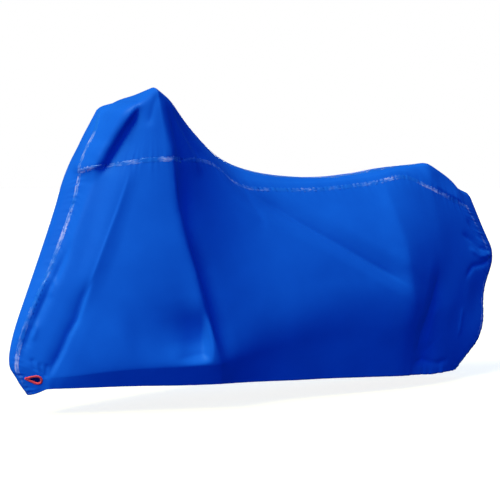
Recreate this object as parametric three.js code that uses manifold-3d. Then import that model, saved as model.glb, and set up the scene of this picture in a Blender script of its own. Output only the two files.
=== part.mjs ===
// A fitted, hollow cover of thin coated nylon, shown draped: a centre panel, two side panels, taped seams, a bound lock hole.
// Millimetres. X runs from nose to tail, Y to the far side, Z up. The tables measure height from the ground.
import * as THREE from "three";
import Module from "manifold-3d";

const wasm = await Module();
wasm.setup();

// Thickness of the cloth and of the tape, the tape's half-width, and the gap between sewn pieces
const CLOTH = 2;
const TAPE = 1;
const TAPE_HALF = 11;
const GAP = 0.3;

const at = (along, out, up) => new THREE.Vector3(along, out, up);

// One row for each rib of a half, from the middle of the nose round to the middle of the tail.
// Each rib climbs from the hem over belly, flank, seam and shoulder to the crown, at (along, out, up).
// steps is the number of columns up to the next rib. bend is how softly the cloth turns along its length at the rib,
// tuck how softly it turns under at the belly, and swell how softly at the flank: 0 is sharp and 0.5 the softest.
const RIBS = [
  { rib: "nose middle", steps: 2, bend: 0.5, tuck: 0.32, swell: 0.5,
    hem: at(-929, 0, 85), belly: at(-1016, 0, 224), flank: at(-840, 0, 745),
    seam: at(-790, 0, 890), shoulder: at(-714, 0, 1050), crown: at(-632, 0, 1190) },
  { rib: "nose seam", steps: 2, bend: 0.4, tuck: 0.35, swell: 0.5,
    hem: at(-923, 20, 86), belly: at(-1000, 36, 224), flank: at(-765, 90, 765),
    seam: at(-742, 90, 922), shoulder: at(-672, 92, 1078), crown: at(-617, 0, 1206) },
  { rib: "hood pleat, upper layer", steps: 1, bend: 0.25, tuck: 0.3, swell: 0.5,
    hem: at(-890, 48, 99), belly: at(-925, 64, 200), flank: at(-775, 128, 690),
    seam: at(-690, 165, 940), shoulder: at(-588, 290, 1172), crown: at(-604, 0, 1187) },
  { rib: "hood pleat, under layer", steps: 2, bend: 0.25, tuck: 0.25, swell: 0.5,
    hem: at(-882, 58, 105), belly: at(-898, 76, 185), flank: at(-750, 146, 675),
    seam: at(-662, 188, 950), shoulder: at(-570, 308, 1178), crown: at(-592, 0, 1189) },
  { rib: "front crease", steps: 5, bend: 0.25, tuck: 0.2, swell: 0.5,
    hem: at(-866, 72, 114), belly: at(-856, 94, 165), flank: at(-690, 186, 632),
    seam: at(-610, 235, 963), shoulder: at(-558, 322, 1192), crown: at(-582, 0, 1192) },
  { rib: "front panel", steps: 6, bend: 0.5, tuck: 0.15, swell: 0.5,
    hem: at(-576, 150, 114), belly: at(-590, 202, 198), flank: at(-530, 266, 590),
    seam: at(-540, 310, 980), shoulder: at(-546, 337, 1210), crown: at(-562, 0, 1198) },
  { rib: "ridge", steps: 3, bend: 0.12, tuck: 0.15, swell: 0.5,
    hem: at(-231, 228, 109), belly: at(-264, 302, 208), flank: at(-378, 320, 573),
    seam: at(-476, 338, 984), shoulder: at(-532, 357, 1228), crown: at(-533, 0, 1204) },
  { rib: "valley", steps: 3, bend: 0.4, tuck: 0.3, swell: 0.5,
    hem: at(-146, 196, 101), belly: at(-180, 272, 240), flank: at(-300, 270, 580),
    seam: at(-400, 282, 984), shoulder: at(-454, 304, 1182), crown: at(-425, 0, 1180) },
  { rib: "behind the hood", steps: 3, bend: 0.5, tuck: 0.4, swell: 0.5,
    hem: at(-5, 176, 94), belly: at(-30, 272, 330), flank: at(-110, 246, 640),
    seam: at(-262, 188, 990), shoulder: at(-320, 160, 1075), crown: at(-300, 0, 1136) },
  { rib: "saddle front", steps: 3, bend: 0.5, tuck: 0.38, swell: 0.5,
    hem: at(146, 170, 86), belly: at(110, 284, 375), flank: at(50, 260, 640),
    seam: at(-150, 170, 885), shoulder: at(-163, 100, 952), crown: at(-176, 0, 1000) },
  { rib: "saddle middle", steps: 3, bend: 0.5, tuck: 0.38, swell: 0.5,
    hem: at(273, 167, 82), belly: at(240, 288, 390), flank: at(190, 264, 650),
    seam: at(0, 148, 872), shoulder: at(10, 95, 908), crown: at(10, 0, 926) },
  { rib: "saddle low", steps: 4, bend: 0.5, tuck: 0.38, swell: 0.5,
    hem: at(408, 168, 76), belly: at(390, 288, 395), flank: at(350, 258, 650),
    seam: at(215, 132, 870), shoulder: at(250, 85, 896), crown: at(280, 0, 903) },
  { rib: "saddle back", steps: 4, bend: 0.22, tuck: 0.38, swell: 0.5,
    hem: at(619, 159, 63), belly: at(612, 282, 395), flank: at(562, 258, 660),
    seam: at(515, 129, 903), shoulder: at(530, 85, 926), crown: at(540, 0, 931) },
  { rib: "rear corner", steps: 3, bend: 0.4, tuck: 0.5, swell: 0.5,
    hem: at(725, 138, 57), belly: at(740, 224, 412), flank: at(700, 208, 680),
    seam: at(656, 124, 936), shoulder: at(668, 85, 952), crown: at(680, 0, 954) },
  { rib: "tail top", steps: 4, bend: 0.14, tuck: 0.5, swell: 0.5,
    hem: at(818, 120, 50), belly: at(850, 184, 420), flank: at(825, 164, 690),
    seam: at(795, 130, 868), shoulder: at(795, 98, 966), crown: at(838, 0, 971) },
  { rib: "tail side", steps: 2, bend: 0.5, tuck: 0.45, swell: 0.4,
    hem: at(910, 95, 50), belly: at(990, 124, 420), flank: at(975, 112, 660),
    seam: at(930, 108, 812), shoulder: at(930, 75, 905), crown: at(960, 0, 908) },
  { rib: "tail seam", steps: 2, bend: 0.25, tuck: 0.28, swell: 0.25,
    hem: at(995, 50, 45), belly: at(1130, 62, 195), flank: at(1168, 80, 572),
    seam: at(1004, 92, 790), shoulder: at(990, 66, 846), crown: at(1014, 0, 872) },
  { rib: "tail middle", steps: 0, bend: 0.5, tuck: 0.28, swell: 0.15,
    hem: at(1032, 0, 42), belly: at(1162, 0, 190), flank: at(1240, 0, 563),
    seam: at(1152, 0, 770), shoulder: at(1132, 0, 810), crown: at(1100, 0, 836) },
];
const ribNamed = (name) => RIBS.findIndex((row) => row.rib === name);
const NOSE_SEAM = ribNamed("nose seam");
const TAIL_SEAM = ribNamed("tail seam");
const SADDLE_LOW = ribNamed("saddle low");

// The guides that cross the ribs, from the hem up. The turns at belly and flank are each rib's own tuck and swell.
const GUIDES = [
  { guide: "hem", steps: 2, bend: 0 },
  { guide: "belly", steps: 6, bend: "tuck" },
  { guide: "flank", steps: 5, bend: "swell" },
  { guide: "seam", steps: 4, bend: 0.35 },
  { guide: "shoulder", steps: 3, bend: 0.15 },
  { guide: "crown", steps: 0, bend: 0.5 },
];
const SEAM_GUIDE = 3;

// Main folds, each along a line of (along, up) points on one side or both. depth is outwards, or inwards where it is negative.
// The fold fades over width on both sides of its line, or over drop on the tail side where that is given.
const line = (...spots) => spots.map(([along, up]) => new THREE.Vector2(along, up));
const FOLDS = [
  { fold: "front crease, high", side: "left", depth: 8, width: 60, path: line([-585, 1040], [-690, 632], [-775, 379]) },
  { fold: "front crease, low", side: "left", depth: -12, width: 60, path: line([-690, 632], [-775, 379], [-890, 80]) },
  { fold: "hood pleat", side: "left", depth: 18, width: 90, drop: 26, path: line([-583, 1180], [-640, 1070], [-725, 880]) },
  { fold: "foot of the ridge", side: "left", depth: -11, width: 160, path: line([-620, 300], [-320, 400]) },
  { fold: "bulge under it", side: "left", depth: 6, width: 110, path: line([-450, 250], [-240, 235]) },
  { fold: "diagonal pull", side: "left", depth: -15, width: 75, path: line([-190, 900], [172, 703], [411, 577], [720, 413]) },
  { fold: "rear low valley", side: "left", depth: -16, width: 110, path: line([810, 600], [735, 400], [690, 260], [700, 0]) },
  { fold: "slack front of the hood, far", side: "right", depth: -16, width: 140, path: line([-530, 1270], [-690, 940]) },
  { fold: "front crease, far high", side: "right", depth: 8, width: 60, path: line([-585, 1040], [-690, 632], [-775, 379]) },
  { fold: "front crease, far low", side: "right", depth: -12, width: 60, path: line([-690, 632], [-775, 379], [-890, 80]) },
  { fold: "foot of the ridge, far", side: "right", depth: -11, width: 160, path: line([-620, 300], [-320, 400]) },
  { fold: "bulge under it, far", side: "right", depth: 6, width: 110, path: line([-450, 250], [-240, 235]) },
  { fold: "diagonal pull, far", side: "right", depth: -15, width: 75, path: line([-190, 900], [172, 703], [411, 577], [720, 413]) },
  { fold: "rear low valley, far", side: "right", depth: -16, width: 110, path: line([810, 600], [735, 400], [690, 260], [700, 0]) },
  { fold: "under the tail's bulge", side: "both", depth: -14, width: 160, path: line([1000, 390], [1520, 390]) },
];
const END_FADE = 0.25;
const MIDDLE_FADE = 60;

// The hood leans: its far peak lies lower than the near one.
const FAR_PEAK = { drop: 44, out: 350, from: 940, to: 1200 };

// The lock hole: where its middle lies, and the half-sizes of its binding's centre line, which narrows to the nose
const HOLE = { rib: 1.88, guide: 0.5, half_length: 31, half_height: 19, narrow: 0.34, full: 0.54 };
const BINDING = { half_width: 4, half_depth: 3, around: 30, sides: 8 };
const FLAT_WITHIN = 44;
const FLAT_FADES = 30;
const PATCH_COLUMNS = 6;
const PATCH_ROWS = 3;

// A taut curve through the points: straight spans, with each corner rounded over its own share of the spans beside it
function taut(spots, bends, t) {
  const k = Math.min(Math.max(Math.round(t), 0), spots.length - 1);
  const u = t - k;
  const bend = bends[k];
  const before = spots[Math.max(k - 1, 0)];
  const after = spots[Math.min(k + 1, spots.length - 1)];
  if (Math.abs(u) >= bend) {
    return spots[k].clone().lerp(u < 0 ? before : after, Math.abs(u));
  }
  const w = (u + bend) / (2 * bend);
  const start = spots[k].clone().lerp(before, bend);
  const end = spots[k].clone().lerp(after, bend);
  start.multiplyScalar((1 - w) * (1 - w));
  return start.addScaledVector(spots[k], 2 * w * (1 - w)).addScaledVector(end, w * w);
}

const mirrored = (p) => at(p.x, -p.y, p.z);
const between = (low, high, share) => low + (high - low) * share;

// A point of a half's plain form. Both ends and the crown meet the other half without a kink.
function form(rib, guide) {
  const ribBends = [0.5, ...RIBS.map((row) => row.bend), 0.5];
  const climb = GUIDES.map(({ guide: name }) => {
    const row = RIBS.map((r) => r[name]);
    const round = [mirrored(row[1]), ...row, mirrored(row[row.length - 2])];
    return taut(round, ribBends, rib + 1);
  });
  const over = [...climb, mirrored(climb[climb.length - 2])];
  const below = RIBS[Math.max(Math.floor(rib), 0)];
  const above = RIBS[Math.min(Math.floor(rib) + 1, RIBS.length - 1)];
  const own = (turn) => between(below[turn], above[turn], rib - Math.floor(rib));
  const bends = GUIDES.map(({ bend }) => (typeof bend === "string" ? own(bend) : bend));
  return taut(over, [...bends, 0.5], guide);
}

// How far a spot lies from a fold's line, on which side of it, and where along it
function besideLine(path, spot) {
  let best = { far: Infinity, along: 0, tailwards: false };
  let walked = 0;
  const total = path.slice(1).reduce((sum, p, k) => sum + p.distanceTo(path[k]), 0);
  path.slice(1).forEach((end, k) => {
    const start = path[k];
    const span = end.clone().sub(start);
    const from = spot.clone().sub(start);
    const t = Math.min(Math.max(from.dot(span) / span.lengthSq(), 0), 1);
    const far = spot.distanceTo(start.clone().addScaledVector(span, t));
    if (far < best.far) {
      best = { far, along: (walked + t * span.length()) / total, tailwards: span.cross(from) > 0 };
    }
    walked += span.length();
  });
  return best;
}
const hump = (x) => (x < 1 ? 0.5 + 0.5 * Math.cos(Math.PI * x) : 0);

// How far the folds of one side push its cloth out at a place
function pushOut(side, place) {
  const spot = new THREE.Vector2(place.x, place.z);
  const fade = Math.min(1, Math.abs(place.y) / MIDDLE_FADE);
  const own = FOLDS.filter((f) => f.side === side || f.side === "both");
  return own.reduce((sum, f) => {
    const { far, along, tailwards } = besideLine(f.path, spot);
    const width = tailwards && f.drop ? f.drop : f.width;
    const toEnd = Math.min(along, 1 - along);
    const ends = hump(Math.max(0, 1 - toEnd / END_FADE));
    return sum + f.depth * hump(far / width) * ends * (f.side === "both" ? 1 : fade);
  }, 0);
}

const STEP = 0.02;
function folded(side, rib, guide) {
  const place = form(rib, guide);
  const lengthways = form(rib + STEP, guide).sub(form(rib - STEP, guide));
  const upwards = form(rib, guide + STEP).sub(form(rib, Math.max(guide - STEP, 0)));
  const out = upwards.cross(lengthways).normalize();
  place.addScaledVector(out, pushOut(side, place));
  if (side === "left") {
    return mirrored(place);
  }
  const height = Math.min(1, Math.max(0, (place.z - FAR_PEAK.from) / (FAR_PEAK.to - FAR_PEAK.from)));
  place.z -= FAR_PEAK.drop * height * (place.y / FAR_PEAK.out);
  return place;
}

// The lock hole's own flat frame on the left side
const holeMiddle = folded("left", HOLE.rib, HOLE.guide);
const alongHem = folded("left", HOLE.rib + 0.8, HOLE.guide).sub(folded("left", HOLE.rib - 0.8, HOLE.guide)).normalize();
const upCloth = folded("left", HOLE.rib, HOLE.guide + 0.3).sub(folded("left", HOLE.rib, HOLE.guide - 0.3));
const holeOut = alongHem.clone().cross(upCloth).normalize();
const holeUp = holeOut.clone().cross(alongHem);

// A point of the cloth's middle layer: the plain form with its folds, flat round the lock hole
function cloth(side, rib, guide) {
  const place = folded(side, rib, guide);
  const from = place.clone().sub(holeMiddle);
  const share = Math.min(1, Math.max(0, (FLAT_WITHIN + FLAT_FADES - from.length()) / FLAT_FADES));
  return place.addScaledVector(holeOut, -from.dot(holeOut) * share);
}

// Even steps between the rows of a table, with an extra line on each side of a seam for the tape's edges
function lines(table, seams) {
  const made = [];
  table.forEach(({ steps }, k) => {
    for (let n = 0; n < steps; n += 1) {
      made.push({ base: k + n / steps, beside: 0 });
    }
  });
  made.push({ base: table.length - 1, beside: 0 });
  seams.forEach((seam) => {
    made.push({ base: seam, beside: -1 }, { base: seam, beside: 1 });
  });
  return made.sort((a, b) => a.base - b.base || a.beside - b.beside);
}
const columns = lines(RIBS, [NOSE_SEAM, TAIL_SEAM]);
const rows = lines(GUIDES, [SEAM_GUIDE]);
const columnOf = (rib) => columns.findIndex((c) => c.base === rib && c.beside === 0);
const seamRow = rows.findIndex((r) => r.base === SEAM_GUIDE && r.beside === 0);

// A tape's edge stays TAPE_HALF from its seam, or a share of the way to the next rib where the ribs crowd together.
const MOST_BESIDE = 0.42;
function ribAt(column, guide) {
  if (column.beside === 0) {
    return column.base;
  }
  const span = form(column.base, guide).distanceTo(form(column.base + column.beside, guide));
  return column.base + column.beside * Math.min(TAPE_HALF / span, MOST_BESIDE);
}
function guideAt(row, rib) {
  if (row.beside === 0) {
    return row.base;
  }
  const span = form(rib, row.base).distanceTo(form(rib, row.base + row.beside));
  return row.base + row.beside * Math.min(TAPE_HALF / span, MOST_BESIDE);
}

// The grid of both halves. The middle column at each end and the crown row belong to both.
const LAST_COLUMN = columns.length - 1;
const LAST_ROW = rows.length - 1;
const inMiddle = (i, j) => i === 0 || i === LAST_COLUMN || j === LAST_ROW;
const keyOf = (side, i, j) => `${inMiddle(i, j) ? "middle" : side} ${i} ${j}`;
const points = new Map();
const cells = [];
for (const side of ["left", "right"]) {
  const spots = columns.map((column) => rows.map((row) => [ribAt(column, row.base), guideAt(row, column.base)]));
  columns.forEach((column, i) => {
    rows.forEach((row, j) => {
      const place = cloth(side, ...spots[i][j]);
      if (inMiddle(i, j)) {
        place.y = 0;
      }
      points.set(keyOf(side, i, j), { place, normal: at(0, 0, 0) });
      if (i < LAST_COLUMN && j < LAST_ROW) {
        const corners = [[i, j], [i + 1, j], [i + 1, j + 1], [i, j + 1]];
        const rib = corners.reduce((sum, [a, b]) => sum + spots[a][b][0], 0) / 4;
        const guide = corners.reduce((sum, [a, b]) => sum + spots[a][b][1], 0) / 4;
        const keys = corners.map(([a, b]) => keyOf(side, a, b));
        const middle = cloth(side, rib, guide);
        cells.push({ side, i, j, middle, corners: side === "left" ? keys : keys.reverse() });
      }
    });
  });
}
cells.forEach(({ corners }) => {
  const [a, b, c, d] = corners.map((k) => points.get(k).place);
  const across = c.clone().sub(a).cross(d.clone().sub(b));
  corners.forEach((k) => points.get(k).normal.add(across));
});
points.forEach((p) => p.normal.normalize());

// Which piece each cell of the grid is cut from
const noseSeam = columnOf(NOSE_SEAM);
const tailSeam = columnOf(TAIL_SEAM);
function pieceOf({ side, i, j }) {
  if (i < noseSeam || i >= tailSeam || j >= seamRow) {
    return "centre_panel";
  }
  if (side === "left" && i < noseSeam + PATCH_COLUMNS && j < PATCH_ROWS) {
    return "lock_patch";
  }
  return `side_panel_${side}`;
}
function underTape({ side, i, j }, wanted) {
  const upNose = i >= noseSeam - 1 && i <= noseSeam && j <= seamRow;
  const upTail = i >= tailSeam - 1 && i <= tailSeam && j <= seamRow;
  const acrossTop = j >= seamRow - 1 && j <= seamRow && i >= noseSeam - 1 && i <= tailSeam;
  return side === wanted && (upNose || upTail || acrossTop);
}

function geometryOf(places, faces) {
  const geometry = new THREE.BufferGeometry();
  geometry.setAttribute("position", new THREE.Float32BufferAttribute(places, 3));
  geometry.setIndex(new THREE.Uint32BufferAttribute(faces, 1));
  return geometry;
}
function cut(body, tool) {
  const [kept, gone] = [body, tool].map((geometry) => {
    const vertProperties = geometry.getAttribute("position").array;
    const triVerts = geometry.getIndex().array;
    return new wasm.Manifold(new wasm.Mesh({ numProp: 3, vertProperties, triVerts }));
  });
  const left = kept.subtract(gone).getMesh();
  return geometryOf(left.vertProperties, left.triVerts);
}

// A sheet over some cells of the grid, between two heights off it. Its cut edges draw back by a little over half the gap,
// and each cell is split along the diagonal that lies nearer the cloth.
const DRAWN_BACK = 0.65 * GAP;
function sheet(own, low, high) {
  const used = new Map();
  const edges = new Map();
  own.forEach(({ corners, middle }) => {
    corners.forEach((k, n) => {
      if (!used.has(k)) {
        used.set(k, { number: used.size, inwards: at(0, 0, 0), onEdge: false });
      }
      used.get(k).inwards.add(middle.clone().sub(points.get(k).place).normalize());
      const next = corners[(n + 1) % 4];
      if (edges.has(`${next}|${k}`)) {
        edges.delete(`${next}|${k}`);
      } else {
        edges.set(`${k}|${next}`, [k, next]);
      }
    });
  });
  edges.forEach((ends) => ends.forEach((k) => {
    used.get(k).onEdge = true;
  }));
  const places = [];
  for (const height of [high, low]) {
    used.forEach(({ inwards, onEdge }, k) => {
      const { place, normal } = points.get(k);
      const p = place.clone().addScaledVector(normal, height);
      if (onEdge) {
        p.addScaledVector(inwards.normalize(), DRAWN_BACK);
      }
      places.push(p.x, p.y, p.z);
    });
  }
  const count = used.size;
  const faces = [];
  own.forEach(({ corners, middle }) => {
    const [a, b, c, d] = corners.map((k) => used.get(k).number);
    const [pa, pb, pc, pd] = corners.map((k) => points.get(k).place);
    const offAC = pa.clone().lerp(pc, 0.5).distanceTo(middle);
    const offBD = pb.clone().lerp(pd, 0.5).distanceTo(middle);
    const halves = offAC <= offBD ? [[a, b, c], [a, c, d]] : [[a, b, d], [b, c, d]];
    halves.forEach(([u, v, w]) => faces.push(u, v, w, u + count, w + count, v + count));
  });
  edges.forEach(([k, next]) => {
    const a = used.get(k).number;
    const b = used.get(next).number;
    faces.push(a, a + count, b, b, a + count, b + count);
  });
  return geometryOf(places, faces);
}

// The lock hole's teardrop, at a distance outside the binding's centre line
function teardrop(outside) {
  const drop = (n) => {
    const a = (2 * Math.PI * n) / BINDING.around;
    const height = HOLE.half_height * (1 - HOLE.narrow + HOLE.full * Math.cos(a));
    return new THREE.Vector2(HOLE.half_length * Math.cos(a), height * Math.sin(a));
  };
  return Array.from({ length: BINDING.around }, (_, n) => {
    const tangent = drop(n + 0.5).sub(drop(n - 0.5)).normalize();
    return drop(n).add(new THREE.Vector2(tangent.y, -tangent.x).multiplyScalar(outside));
  });
}
function onHole(flat, off) {
  const place = holeMiddle.clone().addScaledVector(holeOut, off);
  return place.addScaledVector(alongHem, flat.x).addScaledVector(holeUp, flat.y);
}

// A solid through rings of equal length, joined end to start or capped at both ends
function loops(rings, closed) {
  const around = rings[0].length;
  const places = rings.flat().flatMap((p) => [p.x, p.y, p.z]);
  const faces = [];
  const spans = closed ? rings.length : rings.length - 1;
  for (let r = 0; r < spans; r += 1) {
    const here = r * around;
    const next = ((r + 1) % rings.length) * around;
    for (let n = 0; n < around; n += 1) {
      const m = (n + 1) % around;
      faces.push(here + n, here + m, next + m, here + n, next + m, next + n);
    }
  }
  if (!closed) {
    const top = (rings.length - 1) * around;
    for (let n = 1; n < around - 1; n += 1) {
      faces.push(0, n + 1, n, top, top + n, top + n + 1);
    }
  }
  return geometryOf(places, faces);
}
const CUT_DEPTH = 30;
const holeEdge = teardrop(BINDING.half_width + GAP);
const cutter = loops([-CUT_DEPTH, CUT_DEPTH].map((off) => holeEdge.map((p) => onHole(p, off))), false);
const bindingRings = Array.from({ length: BINDING.sides }, (_, n) => {
  const a = (2 * Math.PI * n) / BINDING.sides;
  return teardrop(BINDING.half_width * Math.cos(a)).map((p) => onHole(p, BINDING.half_depth * Math.sin(a)));
});

const half = CLOTH / 2;
const panel = (name) => sheet(cells.filter((cell) => pieceOf(cell) === name), -half, half);
const tape = (side) => sheet(cells.filter((cell) => underTape(cell, side)), half + GAP, half + GAP + TAPE);
const nylon = new THREE.MeshStandardMaterial({ color: 0x0246c3, roughness: 0.45, metalness: 0 });
const seamTape = new THREE.MeshStandardMaterial({ color: 0x527cd3, roughness: 0.25, metalness: 0 });
const redBinding = new THREE.MeshStandardMaterial({ color: 0xc3163c, roughness: 0.6, metalness: 0 });
const pieces = [
  { name: "centre_panel", geometry: panel("centre_panel"), material: nylon },
  { name: "side_panel_left", geometry: panel("side_panel_left"), material: nylon },
  { name: "side_panel_right", geometry: panel("side_panel_right"), material: nylon },
  { name: "seam_tape_left", geometry: tape("left"), material: seamTape },
  { name: "seam_tape_right", geometry: tape("right"), material: seamTape },
  { name: "lock_patch", geometry: cut(panel("lock_patch"), cutter), material: nylon },
  { name: "lock_binding", geometry: loops(bindingRings, true), material: redBinding },
];

// The origin is under the cloth, at the crown of the saddle's lowest rib.
const saddle = points.get(keyOf("left", columnOf(SADDLE_LOW), LAST_ROW));
const origin = saddle.place.clone().addScaledVector(saddle.normal, -half);

const cover = new THREE.Group();
for (const { name, geometry, material } of pieces) {
  const mesh = new THREE.Mesh(geometry, material);
  mesh.name = name;
  mesh.position.copy(origin).negate();
  cover.add(mesh);
}
export default cover;
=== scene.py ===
# The dressed look of a fitted nylon cover: fine draped cloth, crinkled seam tapes and a red-bound lock hole.
import math

import bpy
import numpy as np
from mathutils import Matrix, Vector


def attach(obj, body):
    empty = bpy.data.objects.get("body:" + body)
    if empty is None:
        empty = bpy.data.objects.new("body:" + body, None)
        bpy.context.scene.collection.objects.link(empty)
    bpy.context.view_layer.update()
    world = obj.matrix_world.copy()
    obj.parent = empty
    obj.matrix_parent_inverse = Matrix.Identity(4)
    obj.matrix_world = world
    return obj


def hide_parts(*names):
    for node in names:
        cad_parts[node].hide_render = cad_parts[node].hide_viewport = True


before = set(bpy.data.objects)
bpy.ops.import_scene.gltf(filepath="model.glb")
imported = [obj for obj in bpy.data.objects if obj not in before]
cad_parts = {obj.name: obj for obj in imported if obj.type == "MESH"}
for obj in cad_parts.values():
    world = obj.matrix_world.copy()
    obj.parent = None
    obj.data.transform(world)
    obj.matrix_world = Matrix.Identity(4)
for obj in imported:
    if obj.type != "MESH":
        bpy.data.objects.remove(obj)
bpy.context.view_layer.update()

# The tables are in millimetres from the ground. The frame's origin lies under the saddle's lowest part.
ORIGIN = np.array((272.82, 0.0, 906.34))
MM = 0.001
TINY = 1e-9

# Thickness of the cloth, how far its outer face lies off its middle layer, half-width and thickness of the
# seam tape, and how far the tape's edges sink into the cloth
CLOTH = 1.4
OUTER = 1.0
TAPE_HALF = 11.0
TAPE_THICK = 0.4
SEATED = 0.45

# One row for each rib of a half, from the middle of the nose round to the middle of the tail.
# Each rib climbs from the hem over belly, flank, seam and shoulder to the crown, at (along, out, up).
# bend is how softly the cloth turns along its length at the rib, tuck how softly it turns under at the
# belly, and swell how softly at the flank.
GUIDES = ("hem", "belly", "flank", "seam", "shoulder", "crown")
RIBS = [
    dict(rib="nose middle", bend=0.5, tuck=0.32, swell=0.5,
         hem=(-929, 0, 85), belly=(-1016, 0, 224), flank=(-840, 0, 745),
         seam=(-790, 0, 890), shoulder=(-714, 0, 1050), crown=(-632, 0, 1190)),
    dict(rib="nose seam", bend=0.4, tuck=0.35, swell=0.5,
         hem=(-923, 20, 86), belly=(-1000, 36, 224), flank=(-765, 90, 765),
         seam=(-742, 90, 922), shoulder=(-672, 92, 1078), crown=(-617, 0, 1206)),
    dict(rib="hood pleat, upper layer", bend=0.25, tuck=0.3, swell=0.5,
         hem=(-890, 48, 99), belly=(-925, 64, 200), flank=(-775, 128, 690),
         seam=(-690, 165, 940), shoulder=(-588, 290, 1172), crown=(-604, 0, 1187)),
    dict(rib="hood pleat, under layer", bend=0.25, tuck=0.25, swell=0.5,
         hem=(-882, 58, 105), belly=(-898, 76, 185), flank=(-750, 146, 675),
         seam=(-662, 188, 950), shoulder=(-570, 308, 1178), crown=(-592, 0, 1189)),
    dict(rib="front crease", bend=0.25, tuck=0.2, swell=0.5,
         hem=(-866, 72, 114), belly=(-856, 94, 165), flank=(-690, 186, 632),
         seam=(-610, 235, 963), shoulder=(-558, 322, 1192), crown=(-582, 0, 1192)),
    dict(rib="front panel", bend=0.5, tuck=0.15, swell=0.5,
         hem=(-576, 150, 114), belly=(-590, 202, 198), flank=(-530, 266, 590),
         seam=(-540, 310, 980), shoulder=(-546, 337, 1210), crown=(-562, 0, 1198)),
    dict(rib="ridge", bend=0.12, tuck=0.15, swell=0.5,
         hem=(-231, 228, 109), belly=(-264, 302, 208), flank=(-378, 320, 573),
         seam=(-476, 338, 984), shoulder=(-532, 357, 1228), crown=(-533, 0, 1204)),
    dict(rib="valley", bend=0.4, tuck=0.3, swell=0.5,
         hem=(-146, 196, 101), belly=(-180, 272, 240), flank=(-300, 270, 580),
         seam=(-400, 282, 984), shoulder=(-454, 304, 1182), crown=(-425, 0, 1180)),
    dict(rib="behind the hood", bend=0.5, tuck=0.4, swell=0.5,
         hem=(-5, 176, 94), belly=(-30, 272, 330), flank=(-110, 246, 640),
         seam=(-262, 188, 990), shoulder=(-320, 160, 1075), crown=(-300, 0, 1136)),
    dict(rib="saddle front", bend=0.5, tuck=0.38, swell=0.5,
         hem=(146, 170, 86), belly=(110, 284, 375), flank=(50, 260, 640),
         seam=(-150, 170, 885), shoulder=(-163, 100, 952), crown=(-176, 0, 1000)),
    dict(rib="saddle middle", bend=0.5, tuck=0.38, swell=0.5,
         hem=(273, 167, 82), belly=(240, 288, 390), flank=(190, 264, 650),
         seam=(0, 148, 872), shoulder=(10, 95, 908), crown=(10, 0, 926)),
    dict(rib="saddle low", bend=0.5, tuck=0.38, swell=0.5,
         hem=(408, 168, 76), belly=(390, 288, 395), flank=(350, 258, 650),
         seam=(215, 132, 870), shoulder=(250, 85, 896), crown=(280, 0, 903)),
    dict(rib="saddle back", bend=0.22, tuck=0.38, swell=0.5,
         hem=(619, 159, 63), belly=(612, 282, 395), flank=(562, 258, 660),
         seam=(515, 129, 903), shoulder=(530, 85, 926), crown=(540, 0, 931)),
    dict(rib="rear corner", bend=0.4, tuck=0.5, swell=0.5,
         hem=(725, 138, 57), belly=(740, 224, 412), flank=(700, 208, 680),
         seam=(656, 124, 936), shoulder=(668, 85, 952), crown=(680, 0, 954)),
    dict(rib="tail top", bend=0.14, tuck=0.5, swell=0.5,
         hem=(818, 120, 50), belly=(850, 184, 420), flank=(825, 164, 690),
         seam=(795, 130, 868), shoulder=(795, 98, 966), crown=(838, 0, 971)),
    dict(rib="tail side", bend=0.5, tuck=0.45, swell=0.4,
         hem=(910, 95, 50), belly=(990, 124, 420), flank=(975, 112, 660),
         seam=(930, 108, 812), shoulder=(930, 75, 905), crown=(960, 0, 908)),
    dict(rib="tail seam", bend=0.25, tuck=0.28, swell=0.25,
         hem=(995, 50, 45), belly=(1130, 62, 195), flank=(1168, 80, 572),
         seam=(1004, 92, 790), shoulder=(990, 66, 846), crown=(1014, 0, 872)),
    dict(rib="tail middle", bend=0.5, tuck=0.28, swell=0.15,
         hem=(1032, 0, 42), belly=(1162, 0, 190), flank=(1240, 0, 563),
         seam=(1152, 0, 770), shoulder=(1132, 0, 810), crown=(1100, 0, 836)),
]

# How softly a rib turns at each guide, where a name stands for its own value, and where two halves meet
GUIDE_BENDS = (0.0, "tuck", "swell", 0.35, 0.15, 0.5)
MEETING_BEND = 0.5

# Numbers of the ribs and guides that the seams and the crown follow, and where the tape up the hood ends
NOSE_SEAM = 1.0
TAIL_SEAM = 16.0
TOP_SEAM = 3.0
HOOD_TAPE_TOP = 4.5
CROWN = 5.0
LAST_RIB = len(RIBS) - 1.0

# Main folds, along lines of (along, up). left and right are how far each side's cloth goes out, or in where
# they are negative. The fold fades over width on the nose side of its line and over drop on the tail side.
# At its start and end it fades over END_FADE of its length, and near the cover's middle over MIDDLE_FADE
# unless it runs over the middle.
FOLDS = [
    dict(fold="front crease, high", left=8, right=8, width=60,
         path=[(-585, 1040), (-690, 632), (-775, 379)]),
    dict(fold="front crease, low", left=-4, right=-12, width=60,
         path=[(-690, 632), (-775, 379), (-890, 80)]),
    dict(fold="hood pleat", left=18, width=90, drop=26, path=[(-583, 1180), (-640, 1070), (-725, 880)]),
    dict(fold="foot of the ridge", left=-11, right=-11, width=160, path=[(-620, 300), (-320, 400)]),
    dict(fold="bulge under it", left=2, right=6, width=110, path=[(-450, 250), (-240, 235)]),
    dict(fold="diagonal pull", left=-15, right=-15, width=75,
         path=[(-190, 900), (172, 703), (411, 577), (720, 413)]),
    dict(fold="rear low valley", left=-12, width=90, drop=150,
         path=[(850, 600), (790, 400), (745, 260), (750, 0)]),
    dict(fold="slack front of the hood, far", right=-16, width=140, path=[(-530, 1270), (-690, 940)]),
    dict(fold="rear low valley, far", right=-16, width=110,
         path=[(810, 600), (735, 400), (690, 260), (700, 0)]),
    dict(fold="under the tail's bulge", left=-14, right=-14, over_middle=True, width=160,
         path=[(1000, 390), (1520, 390)]),
]
END_FADE = 0.25
MIDDLE_FADE = 60.0

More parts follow.
